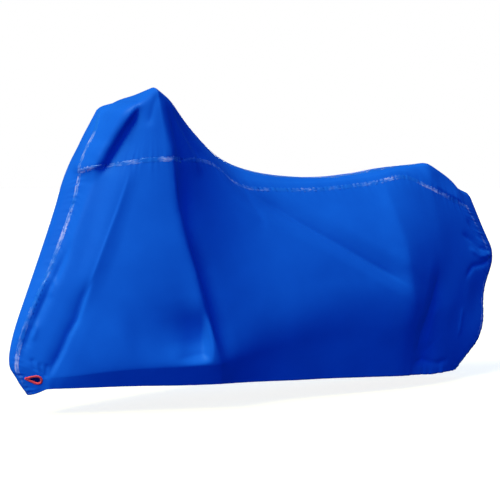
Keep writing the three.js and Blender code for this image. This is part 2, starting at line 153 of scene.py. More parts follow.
# Fine creases on the same plan, with a sharp crest that dies away over the given widths
CREST_SHARPNESS = 1.6
CREASES = [
    dict(crease="front crease, crest", left=3.5, width=5, drop=14,
         path=[(-575, 1000), (-593, 941), (-617, 855), (-641, 775), (-665, 705), (-688, 636), (-714, 555),
               (-740, 471), (-772, 381), (-797, 320)]),
    dict(crease="rear corner, edge", left=10, width=46, drop=130,
         path=[(556, 985), (561, 904), (565, 793), (589, 689), (606, 622), (605, 550), (626, 441),
               (678, 306), (700, 220)]),
    dict(crease="tail facet, edge", left=9, width=10, drop=60,
         path=[(740, 965), (782, 930), (833, 870), (891, 840), (964, 812), (1020, 790)]),
    dict(crease="front crease, groove", left=-13, width=20, drop=7,
         path=[(-714, 550), (-747, 457), (-771, 373), (-797, 320), (-817, 265), (-847, 202), (-880, 130)]),
    dict(crease="hood pleat, lip", left=9, width=45, drop=8,
         path=[(-566, 1190), (-593, 1144), (-617, 1109), (-640, 1064), (-680, 967), (-700, 930)]),
    dict(crease="hood pleat, shade", left=-9, width=9, drop=24,
         path=[(-566, 1165), (-628, 1050), (-668, 962), (-690, 905)]),
    dict(crease="hood pleat, lower lip", left=8, width=30, drop=7,
         path=[(-660, 985), (-690, 949), (-722, 936), (-760, 918)]),
    dict(crease="hood front, slack", left=-5, width=20, drop=30,
         path=[(-640, 1150), (-680, 1080), (-700, 1010)]),
    dict(crease="peak streak, front", left=-5, width=12, drop=12,
         path=[(-530, 1210), (-537, 1160), (-552, 1080)]),
    dict(crease="peak streak, ridge", left=7, width=22, drop=16,
         path=[(-512, 1215), (-492, 1142), (-470, 1040), (-450, 950)]),
    dict(crease="peak streak, back", left=11, width=26, drop=16,
         path=[(-495, 1200), (-453, 1118), (-418, 1058), (-369, 986), (-310, 900)]),
    dict(crease="peak streak, shade", left=-7, width=12, drop=16,
         path=[(-500, 1185), (-470, 1110), (-430, 1010), (-400, 930)]),
    dict(crease="peak streak, last", left=-6, width=14, drop=20,
         path=[(-470, 1160), (-400, 1075), (-330, 1000), (-270, 960)]),
    dict(crease="ridge, edge", left=8, width=40, drop=22,
         path=[(-506, 1180), (-489, 1046), (-465, 927), (-449, 782), (-430, 707), (-413, 654), (-373, 556),
               (-348, 460), (-322, 374), (-288, 283), (-262, 205), (-246, 160)]),
    dict(crease="ridge, shade", left=-29, width=34, drop=32,
         path=[(-436, 1010), (-420, 927), (-400, 782), (-380, 707), (-362, 654), (-320, 556), (-292, 460),
               (-267, 374), (-235, 283), (-212, 205), (-198, 150)]),
    dict(crease="diagonal pull, line", left=-9, width=9, drop=14,
         path=[(-120, 884), (-30, 820), (106, 734), (297, 628), (436, 550), (640, 440)]),
    dict(crease="saddle pull", left=-4, width=30, drop=22,
         path=[(-200, 930), (-110, 850), (-60, 760), (-40, 660)]),
    dict(crease="rear valley, line", left=-11, width=16, drop=60,
         path=[(815, 527), (801, 468), (784, 396), (758, 323), (734, 247), (727, 184), (761, 130),
               (841, 87)]),
    dict(crease="rear fold, low", left=3, width=16, drop=26,
         path=[(825, 380), (800, 310), (780, 230), (790, 160)]),
    dict(crease="rear fold, tail", left=3, width=9, drop=12,
         path=[(984, 345), (979, 300), (975, 245), (970, 200)]),
    dict(crease="rear fold, hem", left=-7, width=14, drop=14,
         path=[(690, 110), (760, 118), (850, 96), (930, 105)]),
    dict(crease="tail wrinkle, top", left=-6, width=8, drop=16,
         path=[(1000, 735), (1075, 650), (1165, 600)]),
    dict(crease="tail wrinkle, upper", left=-8, width=8, drop=18,
         path=[(965, 668), (1045, 625), (1090, 590), (1190, 575)]),
    dict(crease="tail wrinkle, middle", left=6, width=10, drop=14,
         path=[(1010, 600), (1090, 556), (1190, 566)]),
    dict(crease="tail wrinkle, lower", left=-8, width=9, drop=14,
         path=[(985, 455), (1050, 512), (1115, 520), (1195, 552)]),
    dict(crease="lock gather, front", left=-5, width=6, drop=7, path=[(-925, 235), (-906, 172)]),
    dict(crease="lock gather, middle", left=-7, width=6, drop=7, path=[(-897, 222), (-888, 150)]),
    dict(crease="lock gather, back", left=-5, width=6, drop=7, path=[(-872, 214), (-880, 150)]),
    dict(crease="nose seam, shade", left=-10, width=9, drop=13,
         path=[(-775, 690), (-826, 570), (-868, 470), (-915, 360), (-950, 270), (-960, 190)]),
    dict(crease="nose seam, roll", left=6, width=10, drop=8,
         path=[(-850, 560), (-898, 450), (-945, 350), (-985, 250)]),
    dict(crease="nose tuck, high", left=5, width=10, drop=8,
         path=[(-850, 545), (-845, 505), (-862, 455)]),
    dict(crease="nose tuck, low", left=6, width=9, drop=8, path=[(-925, 385), (-905, 345), (-925, 290)]),
    dict(crease="front crease, far", right=5, width=12, drop=12,
         path=[(-580, 985), (-622, 840), (-690, 620), (-780, 360), (-850, 210)]),
    dict(crease="peak streak, far", right=7, width=14, drop=14,
         path=[(-505, 1150), (-440, 1060), (-370, 960), (-320, 880)]),
    dict(crease="ridge, far edge", right=6, width=34, drop=10,
         path=[(-500, 1080), (-470, 931), (-440, 790), (-400, 650), (-340, 460), (-290, 270)]),
    dict(crease="ridge, far shade", right=-9, width=12, drop=36,
         path=[(-470, 1040), (-446, 931), (-416, 790), (-374, 640), (-314, 440), (-268, 260)]),
    dict(crease="foot of the ridge, far", right=-10, width=50, drop=12,
         path=[(-600, 320), (-500, 372), (-380, 390)]),
    dict(crease="diagonal pull, far line", right=-5, width=14, drop=14,
         path=[(-110, 870), (60, 775), (250, 690), (450, 590), (650, 500)]),
    dict(crease="rear fold, far", right=-11, width=18, drop=30,
         path=[(890, 560), (830, 430), (800, 300), (780, 180), (840, 100)]),
    dict(crease="rear edge, far", right=7, width=14, drop=18, path=[(735, 470), (712, 360), (700, 250)]),
    dict(crease="tail wrinkle, far", right=-7, width=10, drop=18,
         path=[(970, 660), (1040, 600), (1150, 590)]),
    dict(crease="tail wrinkle, far low", right=-7, width=10, drop=16,
         path=[(960, 500), (1040, 528), (1180, 500)]),
    dict(crease="nose tuck, far", right=-6, width=12, drop=12,
         path=[(-790, 680), (-862, 500), (-930, 330), (-955, 220)]),
]

# Broad hollows, shaped as the main folds are.
# fades are the shares of its length over which a hollow starts and ends.
HOLLOWS = [
    dict(hollow="foot of the ridge, broad", left=-24, width=220, drop=50, fades=(0.62, 0.38),
         path=[(-354, 470), (-344, 380), (-336, 290), (-330, 192)]),
    dict(hollow="foot of the ridge, deep", left=-22, width=110, drop=46, fades=(0.74, 0.16),
         path=[(-350, 430), (-342, 350), (-335, 270), (-330, 196)]),
]

# The hood leans: its far peak lies lower than the near one.
FAR_PEAK = dict(drop=44, out=350, low=940, high=1200)

# The lock hole: where its middle lies, and the half-sizes of its binding's centre line, which narrows to the
# nose. Its outline is read off at so many points, and all of it lies within NEAR_HOLE of its middle.
# Its own directions are read off over so many ribs and guides to either side of its middle.
HOLE = dict(rib=1.88, guide=0.5, half_length=31, half_height=19, narrow=0.34, full=0.54)
OUTLINE_POINTS = 721
NEAR_HOLE = 60.0
RIBS_BESIDE = 0.8
GUIDES_BESIDE = 0.3

# The cloth lies flat within this distance of the hole's middle and takes up its form again over FLAT_FADES
# beyond it. Its creases die away over CALM_FADES inside it.
FLAT_WITHIN = 44.0
FLAT_FADES = 30.0
CALM_FADES = 10.0

# How much fuller the soft binding is than its solid
BINDING_FULLER = 1.6


def rib_row(guide):
    return np.array([row[guide] for row in RIBS], float)


def mirrored(places):
    return places * np.array((1.0, -1.0, 1.0))


def taut(spots, bends, t):
    """A taut curve through the spots: straight spans, each corner rounded over its own share of them."""
    k = np.clip(np.rint(t), 0, spots.shape[1] - 1).astype(int)
    each = np.arange(len(t))
    here = spots[each, k]
    before = spots[each, np.maximum(k - 1, 0)]
    after = spots[each, np.minimum(k + 1, spots.shape[1] - 1)]
    bend = bends[each, k][:, None]
    u = (t - k)[:, None]
    straight = here + np.abs(u) * (np.where(u < 0, before, after) - here)
    w = (u + bend) / np.maximum(2 * bend, TINY)
    start = here + bend * (before - here)
    end = here + bend * (after - here)
    curved = (1 - w) ** 2 * start + 2 * w * (1 - w) * here + w ** 2 * end
    return np.where(np.abs(u) >= bend, straight, curved)


def form(rib, guide):
    """Points of a half's plain form. Both ends and the crown meet the other half without a kink."""
    rib_bends = np.array([MEETING_BEND] + [row["bend"] for row in RIBS] + [MEETING_BEND])
    rib_numbers = np.arange(len(RIBS))
    climb = []
    for name in GUIDES:
        row = rib_row(name)
        spots = np.vstack([mirrored(row[1:2]), row, mirrored(row[-2:-1])])
        many = np.broadcast_to(spots, (len(rib),) + spots.shape)
        climb.append(taut(many, np.broadcast_to(rib_bends, (len(rib), len(rib_bends))), rib + 1))
    climb.append(mirrored(climb[-2]))
    bends = []
    for bend in GUIDE_BENDS + (MEETING_BEND,):
        each = [row[bend] if isinstance(bend, str) else bend for row in RIBS]
        bends.append(np.interp(rib, rib_numbers, each))
    return taut(np.stack(climb, 1), np.stack(bends, 1), guide)


def outwards(surface, rib, guide, step=0.02):
    """Unit normals of a surface of (rib, guide), pointing out of the cover."""
    lengthways = surface(rib + step, guide) - surface(rib - step, guide)
    upwards = surface(rib, guide + step) - surface(rib, np.maximum(guide - step, 0))
    out = np.cross(upwards, lengthways)
    return out / np.maximum(np.linalg.norm(out, axis=1), TINY)[:, None]


def beside_line(path, spots):
    """Distance from a line, share of the way along it, and whether the spot lies on its tail side."""
    path = np.array(path, float)
    spans = np.diff(path, axis=0)
    lengths = np.linalg.norm(spans, axis=1)
    walked = np.concatenate([[0], np.cumsum(lengths)])
    far = np.full(len(spots), np.inf)
    along = np.zeros(len(spots))
    tailwards = np.zeros(len(spots), bool)
    for start, span, length, before in zip(path, spans, lengths, walked):
        from_start = spots - start
        t = np.clip(from_start @ span / length ** 2, 0, 1)
        gap = np.linalg.norm(from_start - t[:, None] * span, axis=1)
        nearer = gap < far
        far = np.where(nearer, gap, far)
        along = np.where(nearer, (before + t * length) / walked[-1], along)
        side = span[0] * from_start[:, 1] - span[1] * from_start[:, 0] > 0
        tailwards = np.where(nearer, side, tailwards)
    return far, along, tailwards


def hump(x):
    """A smooth rise from 0 at a distance of 1 to a rounded top of 1."""
    return np.where(x < 1, 0.5 + 0.5 * np.cos(np.pi * np.clip(x, 0, 1)), 0)


def crest(x):
    """A sharp top of 1 that dies away with distance."""
    return np.exp(1 - np.sqrt(1 + (CREST_SHARPNESS * x) ** 2))


def push_out(table, profile, side, places):
    """How far the folds of one side push its cloth out."""
    spots = places[:, [0, 2]]
    fade = np.minimum(1, np.abs(places[:, 1]) / MIDDLE_FADE)
    push = np.zeros(len(places))
    for row in table:
        if side in row:
            far, along, tailwards = beside_line(row["path"], spots)
            width = np.where(tailwards, row.get("drop", row["width"]), row["width"])
            rise, fall = row.get("fades", (END_FADE, END_FADE))
            ends = hump(np.maximum(0, 1 - np.minimum(along / rise, (1 - along) / fall)))
            at_middle = 1 if "over_middle" in row else fade
            push += row[side] * profile(far / width) * ends * at_middle
    return push


def uneven(s, waves):
    """A smooth, uneven ripple between about -1 and 1, of the given wavelengths in mm."""
    ripples = [np.sin(2 * np.pi * s / wave + PHASE_STEP * n) for n, wave in enumerate(waves)]
    return sum(ripples) / math.sqrt(len(waves))


def length_along(rib, guide):
    """Running length in mm along a line of the form."""
    places = form(rib, guide)
    steps = np.linalg.norm(np.diff(places, axis=0), axis=1)
    return np.concatenate([[0], np.cumsum(steps)])


# Running lengths of hem and seams, read off at closely spaced ribs and guides
FINE_RIBS = np.linspace(0, LAST_RIB, 700)
FINE_GUIDES = np.linspace(0, TOP_SEAM, 300)
HEM_LENGTH = length_along(FINE_RIBS, np.zeros_like(FINE_RIBS))
TOP_LENGTH = length_along(FINE_RIBS, np.full_like(FINE_RIBS, TOP_SEAM))
NOSE_LENGTH = length_along(np.full_like(FINE_GUIDES, NOSE_SEAM), FINE_GUIDES)
TAIL_LENGTH = length_along(np.full_like(FINE_GUIDES, TAIL_SEAM), FINE_GUIDES)

# Puckers beside the seams and gathers at the elastic hem: wavelengths, heights, and reach from seam or hem
PHASE_STEP = 2.4
PUCKER_WAVES = (19, 27, 43)
GATHER_WAVES = (34, 51, 77)
PUCKER_HEIGHTS = dict(top=1.2, nose=1.1, tail=1.6)
PUCKER_REACH = dict(top=30, nose=26, tail=30)
GATHER_HEIGHTS = dict(least=0.25, rear=1.6, nose=0.8)
GATHER_REACH = 30

# The hem is gathered more behind the first of these lines and ahead of the second, each over its own width.
REAR_GATHERS = dict(line=600, fade=160)
NOSE_GATHERS = dict(line=-820, fade=80)

# Slight unevenness of the cloth: the height of each wave, its lengths along and up for one radian, its phase
SLACK_WAVES = ((0.8, 61, 83, 0.0), (0.7, 97, -47, 1.3))

# The far side's ripples and slack are shifted, so that the sides differ. All calm down towards the middle.
FAR_SHIFT = 500
FAR_SLACK_SHIFT = 1500
CALM_MIDDLE = 30


def beside_seam(s, waves, seam, places, reach):
    """Ripples along a seam or hem, dying away with distance from it."""
    distance = np.linalg.norm(places - seam, axis=1)
    return uneven(s, waves) * np.exp(-distance / reach)


def gathers(side, rib, guide, places):
    """Puckers beside the seams, gathers at the elastic hem and slight unevenness, in mm outwards."""
    shift, slack_shift = (0, 0) if side == "left" else (FAR_SHIFT, FAR_SLACK_SHIFT)
    fade = np.minimum(1, np.abs(places[:, 1]) / CALM_MIDDLE)
    top_seam = form(rib, np.full(len(rib), TOP_SEAM))
    nose_seam = form(np.full(len(rib), NOSE_SEAM), guide)
    tail_seam = form(np.full(len(rib), TAIL_SEAM), guide)
    hem_line = form(rib, np.zeros(len(rib)))
    along_top = np.interp(rib, FINE_RIBS, TOP_LENGTH) + shift
    along_hem = np.interp(rib, FINE_RIBS, HEM_LENGTH) + shift
    up_nose = np.interp(guide, FINE_GUIDES, NOSE_LENGTH) + shift
    up_tail = np.interp(guide, FINE_GUIDES, TAIL_LENGTH) + shift
    top = beside_seam(along_top, PUCKER_WAVES, top_seam, places, PUCKER_REACH["top"])
    nose = beside_seam(up_nose, PUCKER_WAVES, nose_seam, places, PUCKER_REACH["nose"])
    tail = beside_seam(up_tail, PUCKER_WAVES, tail_seam, places, PUCKER_REACH["tail"])
    hem = beside_seam(along_hem, GATHER_WAVES, hem_line, places, GATHER_REACH)
    between_seams = (rib >= NOSE_SEAM) & (rib <= TAIL_SEAM)
    below_top = guide <= TOP_SEAM
    puckers = PUCKER_HEIGHTS["top"] * top * between_seams
    puckers += (PUCKER_HEIGHTS["nose"] * nose + PUCKER_HEIGHTS["tail"] * tail) * below_top
    at_rear = np.clip((places[:, 0] - REAR_GATHERS["line"]) / REAR_GATHERS["fade"], 0, 1)
    at_nose = np.clip((NOSE_GATHERS["line"] - places[:, 0]) / NOSE_GATHERS["fade"], 0, 1)
    more = GATHER_HEIGHTS["rear"] * at_rear + GATHER_HEIGHTS["nose"] * at_nose
    height = GATHER_HEIGHTS["least"] + more
    x = places[:, 0] + slack_shift
    z = places[:, 2]
    slack = sum(high * np.sin(x / along + z / up + phase) for high, along, up, phase in SLACK_WAVES)
    return fade * (puckers + height * hem + slack)


def folded(side, rib, guide):
    """The form of one side with its main folds, still as a right-hand half."""
    places = form(rib, guide)
    places = places + outwards(form, rib, guide) * push_out(FOLDS, hump, side, places)[:, None]
    if side == "right":
        height = np.clip((places[:, 2] - FAR_PEAK["low"]) / (FAR_PEAK["high"] - FAR_PEAK["low"]), 0, 1)
        places[:, 2] -= FAR_PEAK["drop"] * height * places[:, 1] / FAR_PEAK["out"]
    return places


def one(side, rib, guide):
    return folded(side, np.array([rib]), np.array([guide]))[0]


def unit(v):
    return v / np.linalg.norm(v)


def across_hole(rib_step, guide_step):
    """The way over the lock hole's middle, from so many ribs and guides before it to as many after it."""
    after = one("left", HOLE["rib"] + rib_step, HOLE["guide"] + guide_step)
    before = one("left", HOLE["rib"] - rib_step, HOLE["guide"] - guide_step)
    return after - before


# The lock hole's own flat frame, on the left half while that is still a right-hand one
HOLE_MIDDLE = one("left", HOLE["rib"], HOLE["guide"])
ALONG_HEM = unit(across_hole(RIBS_BESIDE, 0))
HOLE_OUT = unit(np.cross(across_hole(0, GUIDES_BESIDE), ALONG_HEM))
HOLE_UP = np.cross(ALONG_HEM, HOLE_OUT)


def dressed(side, rib, guide):
    """The cloth's outer face with all its folds, creases and gathers, in metres in the frame's own place."""
    rib = np.asarray(rib, float)
    guide = np.asarray(guide, float)
    places = folded(side, rib, guide)

    def own_folds(r, g):
        return folded(side, r, g)

    out = outwards(own_folds, rib, guide)
    push = push_out(CREASES, crest, side, places) + push_out(HOLLOWS, hump, side, places)
    push += gathers(side, rib, guide, form(rib, guide)) + OUTER
    if side == "left":
        from_hole = places - HOLE_MIDDLE
        distance = np.linalg.norm(from_hole, axis=1)
        flat = np.clip((FLAT_WITHIN + FLAT_FADES - distance) / FLAT_FADES, 0, 1)
        calm = np.clip((FLAT_WITHIN - distance) / CALM_FADES, 0, 1)
        places = places - HOLE_OUT * (from_hole @ HOLE_OUT * flat)[:, None]
        push = push * (1 - calm) + OUTER * calm
    places = places + out * push[:, None]
    middle = (rib <= 0) | (rib >= LAST_RIB) | (guide >= CROWN)
    places[middle, 1] = 0
    if side == "left":
        places = mirrored(places)
    return (places - ORIGIN) * MM


# Steps of the cloth's grid near the hem, up the sides and over the top.
# The columns stand closer together beside the front crease (rib 4) and the ridge (rib 6): 1 crowds a span's
# steps towards its end and -1 towards its start.
HEM_STEP = 7.0
SIDE_STEP = 10.0
TOP_STEP = 11.5
CROWDING = 1.45
CROWDED_SPANS = {3: 1, 4: -1, 5: 1, 6: -1}


def lines(spans, step, crowded=None):
    """Values 0 to n, each span cut into steps of about the given length, crowded to one end where asked."""
    made = []
    for k, span in enumerate(spans):
        t = np.linspace(0, 1, max(1, math.ceil(span / step)), endpoint=False)
        way = (crowded or {}).get(k, 0)
        if way < 0:
            t = t ** CROWDING
        elif way > 0:
            t = 1 - (1 - t) ** CROWDING
        made.append(k + t)
    return np.concatenate(made + [[len(spans)]])


BELLY = GUIDES.index("belly")
SEAM = GUIDES.index("seam")
ROWS = np.stack([rib_row(name) for name in GUIDES], 1)
RIB_SPANS = np.linalg.norm(np.diff(ROWS, axis=0), axis=2)[:, :SEAM + 1].max(1)
GUIDE_SPANS = np.linalg.norm(np.diff(ROWS, axis=1), axis=2).max(0)
RIB_LINES = lines(RIB_SPANS, SIDE_STEP, CROWDED_SPANS)
GUIDE_LINES = np.concatenate([
    lines(GUIDE_SPANS[:BELLY], HEM_STEP)[:-1],
    lines(GUIDE_SPANS[BELLY:SEAM], SIDE_STEP)[:-1] + BELLY,
    lines(GUIDE_SPANS[SEAM:], TOP_STEP) + SEAM,
])

# The guides and ribs whose mean length gives the unfolded cloth's
MEASURED_GUIDES = (0.0, 1.0, 2.0, 3.0)
MEASURED_RIBS = (4.0, 8.0, 12.0)


def only(obj):
    """Selects one object and makes it active."""
    bpy.ops.object.select_all(action="DESELECT")
    obj.select_set(True)
    bpy.context.view_layer.objects.active = obj


def in_edit(obj, *steps):
    """Runs steps in edit mode with the whole mesh selected."""
    only(obj)
    bpy.ops.object.mode_set(mode="EDIT")
    bpy.ops.mesh.select_all(action="SELECT")
    for step in steps:
        step()
    bpy.ops.object.mode_set(mode="OBJECT")


def points_of(mesh):
    points = np.empty(len(mesh.vertices) * 3)
    mesh.vertices.foreach_get("co", points)
    return points.reshape(-1, 3)


def move_points(mesh, points):
    mesh.vertices.foreach_set("co", points.astype(np.float32).ravel())
    mesh.update()


def cloth_grid(name, columns, rows, place, flat):
    """A grid of cloth. place gives each crossing's spot, and flat its lengths on the unfolded cloth."""
    bpy.ops.object.select_all(action="DESELECT")
    bpy.ops.mesh.primitive_grid_add(x_subdivisions=columns - 1, y_subdivisions=rows - 1, size=2)
    obj = bpy.context.object
    obj.name = name
    mesh = obj.data
    mesh.name = name
    spots = points_of(mesh)
    i = np.rint((spots[:, 0] + 1) / 2 * (columns - 1)).astype(int)
    j = np.rint((spots[:, 1] + 1) / 2 * (rows - 1)).astype(int)
    corners = np.empty(len(mesh.loops), np.int32)
    mesh.loops.foreach_get("vertex_index", corners)
    along, up = flat
    unfolded = np.stack([along[i[corners]], up[j[corners]]], 1)
    mesh.uv_layers.active.data.foreach_set("uv", unfolded.astype(np.float32).ravel())
    move_points(mesh, place(i, j))
    return obj, i, j


def unfolded_lengths(ribs, guides):
    """Mean running lengths of the form along its ribs and guides, in metres."""
    along = np.mean([length_along(ribs, np.full(len(ribs), guide)) for guide in MEASURED_GUIDES], axis=0)
    up = np.mean([length_along(np.full(len(guides), rib), guides) for rib in MEASURED_RIBS], axis=0)
    return along * MM, up * MM


def delete_faces(obj, gone):
    """Deletes the faces that the test picks."""
    flags = [gone(face) for face in obj.data.polygons]
    only(obj)
    bpy.ops.object.mode_set(mode="EDIT")
    bpy.ops.mesh.select_mode(type="FACE")
    bpy.ops.mesh.select_all(action="DESELECT")
    bpy.ops.object.mode_set(mode="OBJECT")
    obj.data.polygons.foreach_set("select", flags)
    bpy.ops.object.mode_set(mode="EDIT")
    bpy.ops.mesh.delete(type="FACE")
    bpy.ops.mesh.select_mode(type="VERT")
    bpy.ops.object.mode_set(mode="OBJECT")


def face_outwards(obj, way):
    """Turns the sheet over if its faces look against the given way on the whole."""
    total = sum(face.normal.dot(way) * face.area for face in obj.data.polygons)
    if total < 0:
        in_edit(obj, bpy.ops.mesh.flip_normals)


def thicken(obj, thickness):
    only(obj)
    wall = obj.modifiers.new("thickness", "SOLIDIFY")
    wall.thickness = thickness * MM
    wall.offset = -1
    bpy.ops.object.modifier_apply(modifier=wall.name)
    bpy.ops.object.shade_smooth()


def half_cloth(name, side, ribs, guides):
    """A grid of one half's cloth over the given lines, with the lines of each of its points."""
    def place(i, j):
        return dressed(side, ribs[i], guides[j])

    return cloth_grid(name, len(ribs), len(guides), place, unfolded_lengths(ribs, guides))


# The way each side looks along the frame's second axis
SIDEWAYS = dict(left=-1, right=1)


def side_panel(side):
    ribs = RIB_LINES[(RIB_LINES >= NOSE_SEAM) & (RIB_LINES <= TAIL_SEAM)]
    guides = GUIDE_LINES[GUIDE_LINES <= TOP_SEAM]
    obj, _, _ = half_cloth(f"cloth_side_{side}", side, ribs, guides)
    if side == "left":
        cut_lock_hole(obj)
    face_outwards(obj, (0, SIDEWAYS[side], 0.2))
    thicken(obj, CLOTH)
    return obj


def teardrop(angle):
    """The lock hole's outline in its flat frame, in mm: the centre line of its binding."""
    half_height = HOLE["half_height"] * (1 - HOLE["narrow"] + HOLE["full"] * np.cos(angle))
    return np.stack([HOLE["half_length"] * np.cos(angle), half_height * np.sin(angle)], -1)


def lock_hole_plan(mesh):
    """A mesh's points, their places in the lock hole's flat frame, and what share of the way to its outline
    each lies from its middle."""
    points = mirrored(points_of(mesh) / MM + ORIGIN)
    from_middle = points - HOLE_MIDDLE
    flat = np.stack([from_middle @ ALONG_HEM, from_middle @ HOLE_UP], 1)
    outline = teardrop(np.linspace(-np.pi, np.pi, OUTLINE_POINTS))
    bearings = np.arctan2(outline[:, 1], outline[:, 0])
    order = np.argsort(bearings)
    outline_reach = np.linalg.norm(outline, axis=1)[order]
    reach = np.interp(np.arctan2(flat[:, 1], flat[:, 0]), bearings[order], outline_reach)
    share = np.linalg.norm(flat, axis=1) / np.maximum(reach, TINY)
    share[np.linalg.norm(from_middle, axis=1) >= NEAR_HOLE] = np.inf
    return points, flat, share


def cut_lock_hole(obj):
    """Opens the lock hole: faces inside its outline go, and the edge left is drawn onto the outline."""
    _, _, share = lock_hole_plan(obj.data)
    inside = share < 1
    delete_faces(obj, lambda face: all(inside[corner] for corner in face.vertices))
    points, flat, share = lock_hole_plan(obj.data)
    stretch = np.where(share < 1, 1 / np.maximum(share, TINY), 1) - 1
    shift = flat * stretch[:, None]
    drawn = points + ALONG_HEM * shift[:, :1] + HOLE_UP * shift[:, 1:]
    move_points(obj.data, (mirrored(drawn) - ORIGIN) * MM)


# Points of two cloths that lie this near to each other are one point, in mm.
SAME_POINT = 0.02


def centre_panel():
    halves = []
    for side in ("left", "right"):
        obj, i, j = half_cloth(f"cloth_centre_{side}", side, RIB_LINES, GUIDE_LINES)
        rib, guide = RIB_LINES[i], GUIDE_LINES[j]

        def on_side_panel(face):
            corners = list(face.vertices)
            r, g = rib[corners].mean(), guide[corners].mean()
            return NOSE_SEAM < r < TAIL_SEAM and g < TOP_SEAM

        delete_faces(obj, on_side_panel)
        face_outwards(obj, (0, 0, 1))
        halves.append(obj)
    only(halves[0])
    halves[1].select_set(True)
    bpy.ops.object.join()
    obj = halves[0]
    obj.name = "cloth_centre"
    obj.data.name = "cloth_centre"
    in_edit(obj, lambda: bpy.ops.mesh.remove_doubles(threshold=SAME_POINT * MM))
    thicken(obj, CLOTH)
    return obj


# The tape's grid, the small steps that its slopes and widths are read off over, how much of a rib or guide
# half its width may take up, and how full its rounded section is
TAPE_COLUMNS = 7
UPRIGHT_ROWS = 190
HOOD_ROWS = 60
TOP_ROWS = 420
SLOPE_STEP = 0.01
WIDTH_STEP = 0.05
WIDEST_SHARE = 0.42
TAPE_FULLNESS = 4

# Crinkles of the tape: their height, the length, lean and phase of each wave, and the length, weight and
# phase of the patches that they come and go in. None sinks lower than the last value.
CRINKLE_HEIGHT = 0.4
CRINKLE_WAVES = ((37, 1.9, 0.0), (19, -2.6, 1.0))
CRINKLE_PATCHES = ((83, 1.0, 0.6), (171, 0.7, 0.0))
CRINKLE_MEAN = 0.6
CRINKLE_SWING = 0.5
CRINKLE_MOST = 1.4
CRINKLE_LOWEST = -0.4


def crinkle(s, across):
    """Height of the tape's crinkles, in mm."""
    turns = 2 * np.pi * s
    waves = sum(np.sin(turns / length + lean * across + phase) for length, lean, phase in CRINKLE_WAVES)
    patches = sum(weight * np.sin(turns / length + phase) for length, weight, phase in CRINKLE_PATCHES)
    return CRINKLE_HEIGHT * waves * np.clip(CRINKLE_MEAN + CRINKLE_SWING * patches, 0, CRINKLE_MOST)


def tape_strip(name, side, walk, across_of):
    """One straight run of seam tape along the walk's (rib, guide) pairs."""
    shares = np.linspace(-1, 1, TAPE_COLUMNS)
    ribs, guides = walk
    s = length_along(ribs, guides)

    def place(i, j):
        rib, guide = across_of(ribs[i], guides[i], shares[j])
        spots = dressed(side, rib, guide)
        lengthways = dressed(side, rib + SLOPE_STEP, guide) - dressed(side, rib - SLOPE_STEP, guide)
        upwards = dressed(side, rib, guide + SLOPE_STEP) - dressed(side, rib, guide - SLOPE_STEP)
        out = np.cross(upwards, lengthways) * SIDEWAYS[side]
        out /= np.maximum(np.linalg.norm(out, axis=1), TINY)[:, None]
        full = 1 - np.abs(shares[j]) ** TAPE_FULLNESS
        rise = 2 * SEATED + np.maximum(crinkle(s[i], shares[j]), CRINKLE_LOWEST)
        return spots + out * ((full * rise - SEATED) * MM)[:, None]

    flat = (s * MM, shares * TAPE_HALF * MM)
    obj, _, _ = cloth_grid(name, len(ribs), len(shares), place, flat)
    return obj


def tape_share(rib, guide, rib_step, guide_step):
    """How much of a rib or guide half the tape's width takes up, read off over one small step."""
    gap = np.linalg.norm(form(rib + rib_step, guide + guide_step) - form(rib, guide), axis=1)
    return TAPE_HALF / (gap / WIDTH_STEP)


def ribs_of_tape(rib, guide):
    return tape_share(rib, guide, WIDTH_STEP, 0)


def guides_of_tape(rib, guide):
    return tape_share(rib, guide, 0, WIDTH_STEP)


def across_upright(rib, guide, share):
    """Places across an upright run of tape."""
    half = np.minimum(ribs_of_tape(rib, np.minimum(guide, TOP_SEAM)), WIDEST_SHARE)
    return rib + share * half, guide


def across_level(rib, guide, share):
    """Places across the run of tape along the top seam."""
    half = np.minimum(guides_of_tape(rib, guide), WIDEST_SHARE)
    return rib, guide + share * half


def seam_tape(side):
    """Tape up the nose and hood, along the top and down the tail, each run starting at another's edge."""
    seams = np.array([NOSE_SEAM, TAIL_SEAM])
    nose_top, tail_top = TOP_SEAM + guides_of_tape(seams, np.full(2, TOP_SEAM))
    nose_reach, tail_reach = ribs_of_tape(seams, np.full(2, TOP_SEAM))
    first_rib = NOSE_SEAM + nose_reach
    last_rib = TAIL_SEAM - tail_reach
    even_shares = (TOP_LENGTH - TOP_LENGTH[0]) / TOP_LENGTH[-1]
    top_ribs = np.interp(np.linspace(0, 1, TOP_ROWS), even_shares, FINE_RIBS)
    top_ribs = top_ribs[(top_ribs > first_rib) & (top_ribs < last_rib)]
    top_ribs = np.concatenate([[first_rib], top_ribs, [last_rib]])
    nose_guides = np.linspace(0, nose_top, UPRIGHT_ROWS)
    hood_guides = np.linspace(nose_top, HOOD_TAPE_TOP, HOOD_ROWS)
    tail_guides = np.linspace(0, tail_top, UPRIGHT_ROWS)
    runs = [
        ("nose", np.full(UPRIGHT_ROWS, NOSE_SEAM), nose_guides, across_upright, (-1, 0, 0.2)),
        ("hood", np.full(HOOD_ROWS, NOSE_SEAM), hood_guides, across_upright, (-1, 0, 0.2)),
        ("top", top_ribs, np.full(len(top_ribs), TOP_SEAM), across_level, (0, SIDEWAYS[side], 1)),
        ("tail", np.full(UPRIGHT_ROWS, TAIL_SEAM), tail_guides, across_upright, (1, 0, 0.2)),
    ]
    strips = []
    for run, ribs, guides, across_of, way in runs:
        strip = tape_strip(f"tape_{run}_{side}", side, (ribs, guides), across_of)
        face_outwards(strip, way)
        strips.append(strip)
    only(strips[0])
    for strip in strips[1:]:
        strip.select_set(True)
    bpy.ops.object.join()
    obj = strips[0]
    obj.name = f"tape_{side}"
    obj.data.name = obj.name
    thicken(obj, TAPE_THICK)
    return obj


